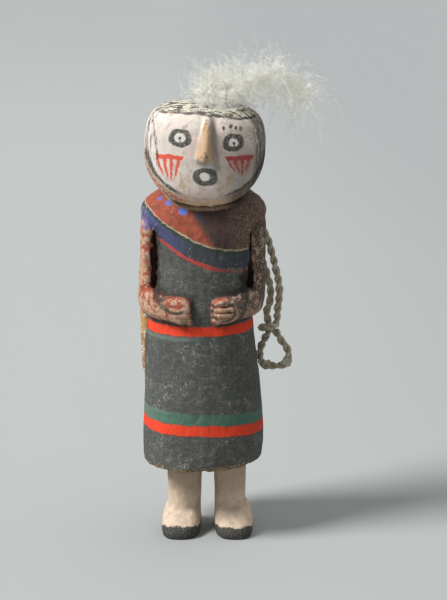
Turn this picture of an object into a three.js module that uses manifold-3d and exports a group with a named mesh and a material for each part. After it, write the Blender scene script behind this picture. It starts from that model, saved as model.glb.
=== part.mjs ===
// Standing kachina doll carved from one length of cottonwood root, with a down plume set
// in the crown and a twisted cotton cord tied round the neck.
// Millimetres, +Z up. The figure faces -Y and its soles rest on z = 0.

import * as THREE from "three";
import { mergeVertices } from "three/addons/utils/BufferGeometryUtils.js";
import Module from "manifold-3d";

const wasm = await Module();
wasm.setup();

// The origin lies under the middle of the box round the figure and its plume,
// and the plume leans to +X, so the figure's own axis stands here.
const figureAxis = new THREE.Vector3(-12.5, 3.3, 0);

// How finely each form is faceted: sides round it, then rings along it
const facets = {
  head: [36, 20],
  nose: [12, 8],
  neck: [28, 1],
  trunk: [36, 20],
  upperArm: [12, 8],
  elbowRidge: [10, 6],
  forearm: [12, 13],
  leg: [16, 4],
  foot: [20, 11],
  shaft: [5, 10],
  tuft: 4,
  cord: 8,
  neckCord: 22,
  hangingCord: 62,
  knot: [12, 8],
};

// Head: an oval face block, squarer in profile than from the front
const headMiddle = new THREE.Vector3(0.2, -1.5, 195.5);
const headHalfWidth = 29.7;
const headHalfDepth = 26.5;
const crownRise = 23.2;
const chinDrop = 28;
const crownSquareness = 3.5; // of the oval above the widest line
const jawSquareness = 2.1; // and below it
const profileSquareness = 3.6;
const faceBend = 0.0085; // how fast the face falls back towards the cheeks, per mm
const napeRise = 0.58; // share of the chin drop that is gone at the nape
const napeRiseFrom = -20; // where in depth the jaw line starts to rise
const headRoll = THREE.MathUtils.degToRad(3.5);
const hairLump = { x: -16, y: -4, height: 1.8, spread: 7.5, from: 2, full: 12 };

// Nose: a long wedge from the hairline down
const noseStations = [
  { z: 194.2, x: 0.9, y: -26.6, halfWidth: 4.9, halfDepth: 8.2 },
  { z: 195.6, x: 0.9, y: -26.6, halfWidth: 5.1, halfDepth: 9.0 },
  { z: 200, x: 0.7, y: -26.4, halfWidth: 4.2, halfDepth: 7.4 },
  { z: 206, x: 0.7, y: -26, halfWidth: 3.1, halfDepth: 5.2 },
  { z: 211, x: 0.8, y: -24.6, halfWidth: 2.3, halfDepth: 3.8 },
  { z: 214.5, x: 0.9, y: -22, halfWidth: 1.7, halfDepth: 2.4 },
];
const nosePower = 1.6;

// Neck column and the hollow under the jaw where the cord lies
const neckHalfWidth = 16;
const neckHalfDepth = 14;
const neckMiddleY = 1;
const neckEnds = [160, 190]; // both ends are inside the trunk and the head
const shoulderSlope = 0.2; // the shoulder line drops towards the chest
const shoulderStart = 150;
const shoulderTop = 168;
const jawHollow = { halfWidth: 25.2, halfDepth: 22, bottom: 140, top: 178 };

// Trunk and dress, stacked from the hem up to the neck
const hemZ = 38;
const hemTilt = 0.035; // the hem rises a little towards the left hand
const hemTiltFrom = 4; // and this dies out between these heights above it
const hemTiltGone = 24;
const trunkSquareness = 2.1;
const trunkStations = [
  { z: hemZ, x: -1, y: 0, halfWidth: 29.4, halfDepth: 28 },
  { z: hemZ + 1, x: -1, y: 0, halfWidth: 30.2, halfDepth: 28.8 },
  { z: 48, x: -0.8, y: 0, halfWidth: 30.5, halfDepth: 28.8 },
  { z: 62, x: -0.8, y: 0, halfWidth: 30.1, halfDepth: 28.2 },
  { z: 78, x: -1.1, y: 0, halfWidth: 29, halfDepth: 27 },
  { z: 93, x: -1.7, y: 0, halfWidth: 27.8, halfDepth: 25.8 },
  { z: 108, x: -2.2, y: 0, halfWidth: 26.6, halfDepth: 24.6 },
  { z: 122, x: -1.8, y: 0, halfWidth: 25, halfDepth: 23.4 },
  { z: 137, x: -1, y: 0, halfWidth: 24.4, halfDepth: 22.6 },
  { z: 150, x: -0.6, y: 0, halfWidth: 25, halfDepth: 22.2 },
  { z: 158, x: -0.6, y: 0.2, halfWidth: 28.6, halfDepth: 21.8 },
  { z: 164, x: -0.5, y: 0.4, halfWidth: 31.3, halfDepth: 21.2 },
  { z: 168.6, x: -0.4, y: 0.6, halfWidth: 30, halfDepth: 20.4 },
  { z: 171.6, x: 0, y: 0.8, halfWidth: 26.2, halfDepth: 19.2 },
  { z: 173.2, x: 0, y: neckMiddleY, halfWidth: 22.8, halfDepth: 17.8 },
];

// Arms: straight upper arms, forearms carved across the belly
const upperArm = { elbowZ: 115.5, shoulderZ: 166, halfWidth: 5.3, halfDepth: 9, y: -0.6 };
const upperArmSquareness = 2.4;
const upperArmSwell = [ // share of the way up from the elbow, and of the full section there
  { share: 0, size: 0.62 },
  { share: 0.05, size: 0.92 },
  { share: 0.3, size: 1 },
  { share: 0.6, size: 1 },
  { share: 0.86, size: 1 },
  { share: 1, size: 0.8 },
];
const rightArmX = { elbow: -27.5, shoulder: -26.2 };
const leftArmX = { elbow: 24.9, shoulder: 25.4 };
const armGroove = { width: 3, depth: 10, bottom: 119, top: 157, endY: -3.4, inset: 2.5 };
const elbowRidge = [ // wood left standing under the right elbow, dying into the skirt
  { z: 72, x: -26, y: 2, halfWidth: 2.6, halfDepth: 3 },
  { z: 79, x: -26, y: 2, halfWidth: 4.6, halfDepth: 4.6 },
  { z: 88, x: -26.2, y: 2, halfWidth: 5.6, halfDepth: 5.6 },
  { z: 102, x: -26.6, y: 2, halfWidth: 5.7, halfDepth: 6.4 },
  { z: 118, x: -26.8, y: 2, halfWidth: 5.7, halfDepth: 7 },
];
const forearm = {
  elbowTurn: 96, // degrees from straight ahead
  middleX: -1.6,
  reachX: 26.6,
  reachY: 25.2,
  halfThickness: 5,
  elbowZ: 121.8,
  handZ: 119.4,
  halfHeight: 6.7,
  wristHalfHeight: 6,
  wristShare: 0.68, // of the way from the elbow to the hand
  wristSpread: 0.12,
  bluntShare: 0.12, // over which the hand rounds off
  endSize: 0.45,
  squareness: 2.5,
};
const rightHandTurn = -11; // degrees from straight ahead, where the blunt hand ends
const leftHandTurn = 12;
const fingerGrooves = { count: 3, width: 0.9, depth: 1.2, spacing: 3.1, length: 10, turnBack: 11 };

// Legs and feet: shafts of the boots, an ankle step, a rounded toe
const legs = [
  { x: -10.4, halfWidth: 9.1, footX: -11.9, footHalfWidth: 10.1, toeY: -22.5, toeOut: -1.4 },
  { x: 12.7, halfWidth: 8.4, footX: 14.6, footHalfWidth: 9.9, toeY: -22.5, toeOut: 1.6 },
];
const leg = {
  halfDepth: 9.6,
  middleY: -2.5,
  squareness: 2.2,
  bottomZ: 3,
  ankleZ: 15,
  calfZ: 25,
  topZ: hemZ + 6,
  ankleSize: 0.93,
  calfSize: 0.97,
};
const foot = {
  heelY: 9.5,
  height: 17.5,
  toeHeight: 9,
  instepShare: 0.3, // of the length, where the foot starts to fall to the toe
  toeShare: 0.95,
  power: 2.6,
  sunk: 0.36, // share of the half height that the sole plane cuts above the middle
};

// Down feather on the crown: an arching shaft with tapering tufts of barbs
const shaftRadius = 0.9;
const plumeShaft = [
  new THREE.Vector3(0.5, -2, 219.8),
  new THREE.Vector3(6, -2.4, 221.4),
  new THREE.Vector3(15, -2.2, 225.4),
  new THREE.Vector3(27, -1, 230.6),
  new THREE.Vector3(39, 0, 229.8),
  new THREE.Vector3(48, 1, 225),
];
const tufts = {
  count: 42,
  turn: 2.4, // radians round the shaft from one to the next
  firstPlace: 0.08, // along the shaft
  placeReach: 0.9,
  crowding: 1.4, // more of them towards the base
  length: 24,
  tipLength: 14,
  radius: 2.2,
  widest: 0.45, // share of the length
  waist: 0.1,
  waistSize: 0.45,
  rootDepth: 0.3, // inside the shaft
  lean: -0.22, // back over the crown at the base, towards the tip further out
  tipLean: 0.5,
  leanFull: 0.7, // share of the tufts by which they lean fully to the tip
  lowest: 0.2, // least rise of those near the crown
  free: 0.35, // share of the tufts that are near it
  droop: 0.75,
};

// Cord: two-ply cotton, tied round the neck with a knot at the nape
const cordRadius = 1.7;
const neckCordGap = 0.75;
const neckCordZ = 175.5;
const neckCordPull = 3; // drawn back from the neck towards the knot
const neckCordSpots = 18;
const neckCordEndTurn = 16; // degrees either side of the nape where the ring meets the knot
const napeKnot = { x: 0, y: 22.3, z: 179.2, halfWidth: 5.4, halfDepth: 3.4, halfHeight: 3.9 };
const outerStrand = [
  new THREE.Vector3(4.6, 24, 176.1),
  new THREE.Vector3(12.5, 22.8, 168),
  new THREE.Vector3(20.5, 19, 160.5),
  new THREE.Vector3(27.5, 15.6, 154.5),
  new THREE.Vector3(31.6, 14, 148),
  new THREE.Vector3(34, 13.4, 140),
  new THREE.Vector3(36, 13, 132),
  new THREE.Vector3(37.6, 13, 124),
  new THREE.Vector3(37.8, 13, 118),
  new THREE.Vector3(36.9, 13.6, 111),
];
const wrap = { x: 32.6, y: 15.6, z: 101, radius: 3.8, drop: 4.4, spots: 6 };
const loopPoints = [
  new THREE.Vector3(38.8, 14.4, 94.8),
  new THREE.Vector3(41.6, 14, 91.2),
  new THREE.Vector3(42.8, 13.8, 87),
  new THREE.Vector3(41.8, 13.8, 82.8),
  new THREE.Vector3(38, 14.2, 81.2),
  new THREE.Vector3(33.6, 15.2, 81),
  new THREE.Vector3(29.4, 16.8, 82),
  new THREE.Vector3(28, 17.6, 87),
  new THREE.Vector3(29.8, 17.2, 93.3),
];
const innerStrand = [
  new THREE.Vector3(32.2, 15.8, 98.5),
  new THREE.Vector3(32.4, 15.4, 103.5),
  new THREE.Vector3(31.4, 15.4, 109),
  new THREE.Vector3(33, 15.8, 114.5),
  new THREE.Vector3(33.4, 16, 120.5),
  new THREE.Vector3(32, 16.4, 127),
  new THREE.Vector3(29.6, 17.4, 134),
  new THREE.Vector3(24.5, 18.6, 143.5),
  new THREE.Vector3(17.5, 20.6, 153.5),
  new THREE.Vector3(10.5, 23.2, 162),
  new THREE.Vector3(4.6, 24.4, 168),
  new THREE.Vector3(0.2, 24.2, 174.3),
];

// Shaping helpers

const smooth = (from, to, value) => THREE.MathUtils.smoothstep(value, from, to);
const signedPower = (value, power) => Math.sign(value) * Math.abs(value) ** power;

// Moves every point of a geometry by a function that changes it in place.
function reshape(geometry, move) {
  const spots = geometry.getAttribute("position");
  const point = new THREE.Vector3();
  for (let i = 0; i < spots.count; i += 1) {
    point.fromBufferAttribute(spots, i);
    move(point);
    spots.setXYZ(i, point.x, point.y, point.z);
  }
  return geometry;
}

// The closed solid of a geometry, with its doubled points joined.
function solidOf(geometry) {
  const bare = geometry.clone();
  bare.deleteAttribute("normal");
  bare.deleteAttribute("uv");
  const merged = mergeVertices(bare, 1e-4);
  const corners = [];
  const index = merged.index.array;
  for (let i = 0; i < index.length; i += 3) {
    const [a, b, c] = [index[i], index[i + 1], index[i + 2]];
    if (a !== b && b !== c && c !== a) corners.push(a, b, c);
  }
  const triVerts = new Uint32Array(corners);
  const vertProperties = merged.getAttribute("position").array;
  return new wasm.Manifold(new wasm.Mesh({ numProp: 3, vertProperties, triVerts }));
}

// The geometry of a solid, for a mesh.
function geometryOf(solid) {
  const made = solid.getMesh();
  const geometry = new THREE.BufferGeometry();
  geometry.setAttribute("position", new THREE.BufferAttribute(made.vertProperties, 3));
  geometry.setIndex(new THREE.BufferAttribute(made.triVerts, 1));
  geometry.computeVertexNormals();
  return geometry;
}

// A value read smoothly between stations, share 0 at the first and 1 at the last.
function between(stations, key, share) {
  const place = share * (stations.length - 1);
  const first = Math.min(Math.floor(place), stations.length - 2);
  const value = (i) => stations[THREE.MathUtils.clamp(i, 0, stations.length - 1)][key];
  const t = place - first;
  const slopeIn = (value(first + 1) - value(first - 1)) / 2;
  const slopeOut = (value(first + 2) - value(first)) / 2;
  const rise = value(first + 1) - value(first);
  const a = slopeIn + slopeOut - 2 * rise;
  const b = 3 * rise - 2 * slopeIn - slopeOut;
  return ((a * t + b) * t + slopeIn) * t + value(first);
}

// Oval sections stacked along Z from the stations; power 2 is an ellipse, more is squarer.
function stackedOvals(stations, [sides, rings], power = 2) {
  const tube = new THREE.CylinderGeometry(1, 1, 1, sides, rings).rotateX(Math.PI / 2);
  return reshape(tube, (p) => {
    const share = THREE.MathUtils.clamp(p.z + 0.5, 0, 1);
    const rim = Math.hypot(p.x, p.y);
    const turn = Math.atan2(p.y, p.x);
    const across = rim * signedPower(Math.cos(turn), 2 / power);
    const deep = rim * signedPower(Math.sin(turn), 2 / power);
    p.x = between(stations, "x", share) + across * between(stations, "halfWidth", share);
    p.y = between(stations, "y", share) + deep * between(stations, "halfDepth", share);
    p.z = between(stations, "z", share);
  });
}

const box = (width, depth, height) => new THREE.BoxGeometry(width, depth, height);

// The carved figure

function headSolid() {
  const ball = new THREE.SphereGeometry(1, ...facets.head);
  reshape(ball, (p) => {
    const rim = Math.hypot(p.x, p.z);
    const turn = Math.atan2(p.z, p.x);
    const reach = rim ** (2 / profileSquareness);
    const squareness = p.z > 0 ? crownSquareness : jawSquareness;
    p.x = headHalfWidth * reach * signedPower(Math.cos(turn), 2 / squareness);
    p.z = reach * signedPower(Math.sin(turn), 2 / squareness);
    p.y = headHalfDepth * signedPower(p.y, 2 / profileSquareness);
    const risen = napeRise * smooth(napeRiseFrom, headHalfDepth, p.y);
    p.z *= p.z > 0 ? crownRise : chinDrop * (1 - risen);
    const front = Math.max(0, -p.y / headHalfDepth);
    p.y += faceBend * p.x * p.x * front;
    const lump = Math.hypot(p.x - hairLump.x, p.y - hairLump.y) / hairLump.spread;
    p.z += hairLump.height * Math.exp(-lump * lump) * smooth(hairLump.from, hairLump.full, p.z);
  });
  ball.rotateY(headRoll).translate(headMiddle.x, headMiddle.y, headMiddle.z);

  const hollowStations = [jawHollow.bottom, jawHollow.top].map((z) => ({
    z,
    x: 0,
    y: neckMiddleY,
    halfWidth: jawHollow.halfWidth,
    halfDepth: jawHollow.halfDepth,
  }));
  const hollow = stackedOvals(hollowStations, facets.neck);
  reshape(hollow, (p) => {
    p.z += shoulderSlope * p.y;
  });
  const nose = stackedOvals(noseStations, facets.nose, nosePower);
  return solidOf(ball).subtract(solidOf(hollow)).add(solidOf(nose));
}

function neckSolid() {
  const stations = neckEnds.map((z) => ({
    z,
    x: 0,
    y: neckMiddleY,
    halfWidth: neckHalfWidth,
    halfDepth: neckHalfDepth,
  }));
  return solidOf(stackedOvals(stations, facets.neck));
}

function trunkSolid() {
  const trunk = stackedOvals(trunkStations, facets.trunk, trunkSquareness);
  reshape(trunk, (p) => {
    p.z += shoulderSlope * p.y * smooth(shoulderStart, shoulderTop, p.z);
    p.z += hemTilt * p.x * (1 - smooth(hemTiltFrom, hemTiltGone, p.z - hemZ));
  });
  return solidOf(trunk);
}

function upperArmSolid(armX) {
  const { elbowZ, shoulderZ, halfWidth, halfDepth, y } = upperArm;
  const stations = upperArmSwell.map(({ share, size }) => ({
    z: THREE.MathUtils.lerp(elbowZ, shoulderZ, share),
    x: THREE.MathUtils.lerp(armX.elbow, armX.shoulder, share),
    y,
    halfWidth: halfWidth * size,
    halfDepth: halfDepth * size,
  }));
  return solidOf(stackedOvals(stations, facets.upperArm, upperArmSquareness));
}

// A blunt bar bent round the belly, from the elbow at the side to the hand in front.
function forearmSolid(side, handTurn) {
  const bar = new THREE.CylinderGeometry(1, 1, 1, ...facets.forearm);
  const start = THREE.MathUtils.degToRad(forearm.elbowTurn * side);
  const end = THREE.MathUtils.degToRad(handTurn);
  return solidOf(
    reshape(bar, (p) => {
      const share = p.y + 0.5;
      const turn = THREE.MathUtils.lerp(start, end, share);
      const toEnd = (1 - share) / forearm.bluntShare;
      const blunt = Math.min(1, (toEnd + forearm.endSize) ** (1 / forearm.squareness));
      const wrist = Math.exp(-(((share - forearm.wristShare) / forearm.wristSpread) ** 2));
      const height = THREE.MathUtils.lerp(forearm.halfHeight, forearm.wristHalfHeight, wrist);
      const rim = Math.hypot(p.x, p.z);
      const around = Math.atan2(p.z, p.x);
      const power = 2 / forearm.squareness;
      const out = rim * forearm.halfThickness * signedPower(Math.cos(around), power) * blunt;
      const up = rim * height * signedPower(Math.sin(around), power) * blunt;
      p.x = forearm.middleX + (forearm.reachX + out) * Math.sin(turn);
      p.y = -(forearm.reachY + out) * Math.cos(turn);
      p.z = THREE.MathUtils.lerp(forearm.elbowZ, forearm.handZ, share) + up * side * -1;
    }),
  );
}

// Slots between the fingers, cut level across the front of a hand.
function fingerCuts(handTurn, side) {
  const { count, width, depth, spacing, length, turnBack } = fingerGrooves;
  const turn = THREE.MathUtils.degToRad(handTurn + side * turnBack);
  const reach = forearm.reachY + forearm.halfThickness;
  const cuts = [];
  for (let i = 0; i < count; i += 1) {
    const cut = box(length, depth * 2, width).rotateZ(turn);
    cut.translate(
      forearm.middleX + reach * Math.sin(turn),
      -reach * Math.cos(turn),
      forearm.handZ + (i - (count - 1) / 2) * spacing,
    );
    cuts.push(solidOf(cut));
  }
  return cuts;
}

// The slot that frees the front of an upper arm from the trunk.
function grooveSolid(armX) {
  const { width, depth, bottom, top, endY, inset } = armGroove;
  const inward = -Math.sign(armX.elbow) * inset;
  const slot = box(width, depth * 2, top - bottom);
  const middleX = (armX.elbow + armX.shoulder) / 2 + inward;
  slot.translate(middleX, endY - depth, (top + bottom) / 2);
  return solidOf(slot);
}

function legSolid(spec) {
  const station = (z, size) => ({
    z,
    x: spec.x,
    y: leg.middleY,
    halfWidth: spec.halfWidth * size,
    halfDepth: leg.halfDepth * size,
  });
  const stations = [
    station(leg.bottomZ, leg.ankleSize),
    station(leg.ankleZ, leg.ankleSize),
    station(leg.calfZ, leg.calfSize),
    station(leg.topZ, 1),
  ];
  return solidOf(stackedOvals(stations, facets.leg, leg.squareness));
}

function footSolid(spec) {
  const length = foot.heelY - spec.toeY;
  const block = new THREE.SphereGeometry(1, ...facets.foot);
  reshape(block, (p) => {
    const level = Math.hypot(p.x, p.z);
    const turn = Math.atan2(p.z, p.x);
    p.x = level ** (2 / foot.power) * signedPower(Math.cos(turn), 2 / foot.power);
    p.z = level ** (2 / foot.power) * signedPower(Math.sin(turn), 2 / foot.power);
    p.y = signedPower(p.y, 2 / foot.power);
    const forward = (1 - p.y) / 2;
    const fallen = smooth(foot.instepShare, foot.toeShare, forward);
    const height = THREE.MathUtils.lerp(foot.height, foot.toeHeight, fallen);
    p.x = spec.footX + spec.toeOut * (forward - 0.5) + p.x * spec.footHalfWidth;
    p.y = (foot.heelY + spec.toeY) / 2 + (p.y * length) / 2;
    p.z = ((p.z + foot.sunk) * height) / (1 + foot.sunk);
  });
  const ground = 4 * foot.height;
  const below = box(ground, ground, ground).translate(spec.footX, leg.middleY, -ground / 2);
  return solidOf(block).subtract(solidOf(below));
}

function carvedFigure() {
  let figure = trunkSolid().add(neckSolid()).add(headSolid());
  for (const armX of [rightArmX, leftArmX]) figure = figure.add(upperArmSolid(armX));
  figure = figure.add(solidOf(stackedOvals(elbowRidge, facets.elbowRidge)));
  for (const armX of [rightArmX, leftArmX]) figure = figure.subtract(grooveSolid(armX));
  figure = figure.add(forearmSolid(-1, rightHandTurn)).add(forearmSolid(1, leftHandTurn));
  for (const cut of fingerCuts(rightHandTurn, -1)) figure = figure.subtract(cut);
  for (const cut of fingerCuts(leftHandTurn, 1)) figure = figure.subtract(cut);
  for (const spec of legs) figure = figure.add(legSolid(spec)).add(footSolid(spec));
  return geometryOf(figure);
}

// The down plume

const roundOutline = (radius, sides) => {
  const ring = [];
  for (let i = 0; i < sides; i += 1) {
    const turn = (2 * Math.PI * i) / sides;
    ring.push(new THREE.Vector2(radius * Math.cos(turn), radius * Math.sin(turn)));
  }
  return new THREE.Shape(ring);
};

function tubeAlong(curve, radius, [sides, steps]) {
  const settings = { steps, bevelEnabled: false, extrudePath: curve };
  return new THREE.ExtrudeGeometry(roundOutline(radius, sides), settings);
}

// Tufts leave the shaft in turns round it, lean towards its tip and droop at their ends.
// Those near the crown are kept up off the hair.
function downPlume() {
  const shaft = new THREE.CatmullRomCurve3(plumeShaft, false, "centripetal");
  const upright = new THREE.Vector3(0, 1, 0);
  let plume = solidOf(tubeAlong(shaft, shaftRadius, facets.shaft));
  for (let i = 0; i < tufts.count; i += 1) {
    const share = (i + 0.5) / tufts.count;
    const place = tufts.firstPlace + tufts.placeReach * share ** tufts.crowding;
    const root = shaft.getPointAt(place);
    const along = shaft.getTangentAt(place);
    const out = upright.clone().cross(along).normalize().applyAxisAngle(along, i * tufts.turn);
    const outer = smooth(0, tufts.leanFull, share);
    const lean = THREE.MathUtils.lerp(tufts.lean, tufts.tipLean, outer);
    const aim = along.clone().multiplyScalar(lean);
    aim.addScaledVector(out, 1 - Math.abs(lean)).normalize();
    const lowest = THREE.MathUtils.lerp(tufts.lowest, -1, smooth(tufts.free, tufts.leanFull, share));
    aim.z = Math.max(aim.z, lowest);
    aim.normalize();
    const length = THREE.MathUtils.lerp(tufts.length, tufts.tipLength, share);
    const profile = [
      new THREE.Vector2(0, -tufts.rootDepth),
      new THREE.Vector2(tufts.radius * tufts.waistSize, tufts.waist * length),
      new THREE.Vector2(tufts.radius, tufts.widest * length),
      new THREE.Vector2(0, length),
    ];
    const tuft = new THREE.LatheGeometry(profile, facets.tuft);
    tuft.applyQuaternion(new THREE.Quaternion().setFromUnitVectors(upright, aim));
    tuft.translate(root.x, root.y, root.z);
    reshape(tuft, (p) => {
      const far = p.distanceTo(root) / length;
      p.z -= tufts.droop * length * far * far * share * share;
    });
    plume = plume.add(solidOf(tuft));
  }
  return geometryOf(plume);
}

// Cord

function ringPoint(degrees) {
  const turn = THREE.MathUtils.degToRad(degrees);
  const off = cordRadius + neckCordGap;
  const depth = neckHalfDepth + off + neckCordPull * Math.max(0, Math.cos(turn));
  const y = neckMiddleY + depth * Math.cos(turn);
  const x = (neckHalfWidth + off) * Math.sin(turn);
  return new THREE.Vector3(x, y, neckCordZ + shoulderSlope * y);
}

function neckCordCurve() {
  const points = [];
  for (let i = 0; i <= neckCordSpots; i += 1) {
    const share = i / neckCordSpots;
    points.push(ringPoint(THREE.MathUtils.lerp(neckCordEndTurn, 360 - neckCordEndTurn, share)));
  }
  return new THREE.CatmullRomCurve3(points, false, "centripetal");
}

// Down the outer strand, once round the inner one, through the loop and back up inside the wrap.
function hangingCordCurve() {
  const turnPoints = [];
  for (let i = 0; i <= wrap.spots; i += 1) {
    const turn = (2 * Math.PI * i) / wrap.spots;
    turnPoints.push(
      new THREE.Vector3(
        wrap.x + wrap.radius * Math.cos(turn),
        wrap.y - wrap.radius * Math.sin(turn),
        wrap.z + wrap.drop * (0.5 - i / wrap.spots),
      ),
    );
  }
  const points = [...outerStrand, ...turnPoints, ...loopPoints, ...innerStrand];
  return new THREE.CatmullRomCurve3(points, false, "centripetal");
}

const cordAlong = (curve, steps) => tubeAlong(curve, cordRadius, [facets.cord, steps]);

function knotGeometry() {
  const knot = new THREE.SphereGeometry(1, ...facets.knot);
  knot.scale(napeKnot.halfWidth, napeKnot.halfDepth, napeKnot.halfHeight);
  return knot.translate(napeKnot.x, napeKnot.y, napeKnot.z);
}

// Materials and assembly

const material = (color, roughness) =>
  new THREE.MeshStandardMaterial({ color, roughness, metalness: 0 });
const paintedWood = material("#7d6a5c", 0.8);
const downWhite = material("#e9e5dc", 0.9);
const cottonCord = material("#b9ac93", 0.95);

const root = new THREE.Group();

function addPiece(name, geometry, look) {
  const piece = new THREE.Mesh(geometry, look);
  piece.name = name;
  piece.position.copy(figureAxis);
  root.add(piece);
}

addPiece("carved_figure", carvedFigure(), paintedWood);
addPiece("down_plume", downPlume(), downWhite);
addPiece("cord_neck", cordAlong(neckCordCurve(), facets.neckCord), cottonCord);
addPiece("cord_hanging", cordAlong(hangingCordCurve(), facets.hangingCord), cottonCord);
addPiece("nape_knot", knotGeometry(), cottonCord);

export default root;
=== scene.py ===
import math
import random
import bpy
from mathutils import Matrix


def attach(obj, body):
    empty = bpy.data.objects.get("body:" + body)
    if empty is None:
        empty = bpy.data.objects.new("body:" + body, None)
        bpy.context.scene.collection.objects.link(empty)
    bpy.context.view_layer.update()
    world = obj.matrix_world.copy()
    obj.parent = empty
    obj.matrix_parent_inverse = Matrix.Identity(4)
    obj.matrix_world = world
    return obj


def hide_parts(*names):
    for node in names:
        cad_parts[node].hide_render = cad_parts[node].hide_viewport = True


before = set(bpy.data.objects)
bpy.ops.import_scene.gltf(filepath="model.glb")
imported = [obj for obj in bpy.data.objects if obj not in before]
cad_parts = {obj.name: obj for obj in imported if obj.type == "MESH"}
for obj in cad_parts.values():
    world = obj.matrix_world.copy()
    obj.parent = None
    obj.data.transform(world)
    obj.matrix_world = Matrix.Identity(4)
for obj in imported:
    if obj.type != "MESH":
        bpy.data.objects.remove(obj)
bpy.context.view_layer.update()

from types import SimpleNamespace

import bpy
import numpy as np
from mathutils import Vector, noise

# The doll faces -Y. Its own axis stands here, and every size below is in millimetres from that axis.
figureAxis = np.array([-12.5, 3.3, 0.0])
mm = 0.001
print("frame loaded")


def metres(points):
    return (np.asarray(points, float) + figureAxis) * mm


def tint(code):
    # a colour picker's hex code as linear red, green, blue, alpha
    parts = [int(code[i:i + 2], 16) / 255 for i in (1, 3, 5)]
    return tuple(p / 12.92 if p <= 0.04045 else ((p + 0.055) / 1.055) ** 2.4 for p in parts) + (1.0,)


def addObject(name, data):
    made = bpy.data.objects.new(name, data)
    bpy.context.collection.objects.link(made)
    return made


def standAt(made, look, aim):
    # a camera or a light, turned from the front and raised round the spot it looks at
    turn, rise = math.radians(look["turn"]), math.radians(look["rise"])
    out = Vector((math.sin(turn) * math.cos(rise), -math.cos(turn) * math.cos(rise), math.sin(rise)))
    made.location = Vector(metres(aim)) + out * look["distance"] * mm
    made.rotation_euler = (-out).to_track_quat("-Z", "Y").to_euler()


# Camera

cameraLook = {"distance": 900, "turn": 0, "rise": 14, "aim": (9.5, 0, 119.3), "lens": 108, "sensor": 36}


def placeCamera(look):
    data = bpy.data.cameras.new("camera")
    data.lens = look["lens"]
    data.sensor_width = look["sensor"]
    camera = addObject("camera", data)
    standAt(camera, look, look["aim"])
    bpy.context.scene.camera = camera


placeCamera(cameraLook)


# Shader maths

class Wire:
    def __init__(self, tree, socket=None):
        self.tree = tree
        self.socket = socket

    def node(self, kind, settings=None, sockets=None, out=0):
        made = self.tree.nodes.new("ShaderNode" + kind)
        for name, value in (settings or {}).items():
            setattr(made, name, value)
        for name, value in (sockets or {}).items():
            if isinstance(value, Wire):
                self.tree.links.new(value.socket, made.inputs[name])
            else:
                made.inputs[name].default_value = value
        return Wire(self.tree, made.outputs[out] if made.outputs else None)

    def twin(self, out):
        return Wire(self.tree, self.socket.node.outputs[out])

    def maths(self, operation, *values):
        return self.node("Math", {"operation": operation}, dict(enumerate(values)))

    def __add__(self, other):
        return self.maths("ADD", self, other)

    def __radd__(self, other):
        return self.maths("ADD", other, self)

    def __sub__(self, other):
        return self.maths("SUBTRACT", self, other)

    def __rsub__(self, other):
        return self.maths("SUBTRACT", other, self)

    def __mul__(self, other):
        return self.maths("MULTIPLY", self, other)

    def __rmul__(self, other):
        return self.maths("MULTIPLY", other, self)

    def __truediv__(self, other):
        return self.maths("DIVIDE", self, other)

    def __rtruediv__(self, other):
        return self.maths("DIVIDE", other, self)

    def __pow__(self, other):
        return self.maths("POWER", self, other)

    def __rpow__(self, other):
        return self.maths("POWER", other, self)

    def __abs__(self):
        return self.maths("ABSOLUTE", self)

    def most(self, other):
        return self.maths("MAXIMUM", self, other)

    def rise(self, low, high):
        # 0 below low, 1 above high, eased between
        sockets = {"Value": self, "From Min": low, "From Max": high}
        return self.node("MapRange", {"interpolation_type": "SMOOTHSTEP"}, sockets)

    def stripe(self, middle, half, soft=0.25):
        return 1 - abs(self - middle).rise(half - soft, half + soft)

    def over(self, under, paint):
        # this mask lays paint over what is under it
        return self.node("Mix", {"data_type": "RGBA"}, {0: self, 6: under, 7: paint}, 2)

    def shade(self, colour):
        # darkens a colour by this value
        grey = self.node("CombineXYZ", None, {0: self, 1: self, 2: self})
        return self.node("Mix", {"data_type": "RGBA", "blend_type": "MULTIPLY"},
                         {0: 1.0, 6: colour, 7: grey}, 2)


def newMaterial(name):
    material = bpy.data.materials.new(name)
    material.use_nodes = True
    material.node_tree.nodes.clear()
    return material, Wire(material.node_tree)


def finishMaterial(wire, colour, rough, shine, more=None):
    sockets = {"Base Color": colour, "Roughness": rough, "Specular IOR Level": shine}
    shader = wire.node("BsdfPrincipled", None, sockets | (more or {}))
    wire.node("OutputMaterial", None, {"Surface": shader})


def dollPlace(wire):
    # millimetres from the doll's axis
    spot = wire.node("TexCoord", out="Object")
    shift = tuple(-v for v in figureAxis)
    return wire.node("VectorMath", {"operation": "MULTIPLY_ADD"}, {0: spot, 1: (1 / mm,) * 3, 2: shift})


def grain(place, stretch, detail=4, rough=0.55, shift=0.0):
    # noise from 0 to 1 with that many waves in a millimetre along each axis
    moved = place.node("VectorMath", {"operation": "MULTIPLY_ADD"}, {0: place, 1: stretch, 2: (shift,) * 3})
    sockets = {"Vector": moved, "Scale": 1.0, "Detail": detail, "Roughness": rough}
    return place.node("TexNoise", None, sockets)


# Mesh helpers

def newObject(name, verts, faces, material):
    mesh = bpy.data.meshes.new(name)
    mesh.from_pydata([tuple(v) for v in verts], [], faces)
    mesh.shade_smooth()
    mesh.materials.append(material)
    return addObject(name, mesh)


def keepOnDoll(piece, slot, *nodes):
    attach(piece, "root")
    if nodes:
        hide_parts(*nodes)


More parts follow.
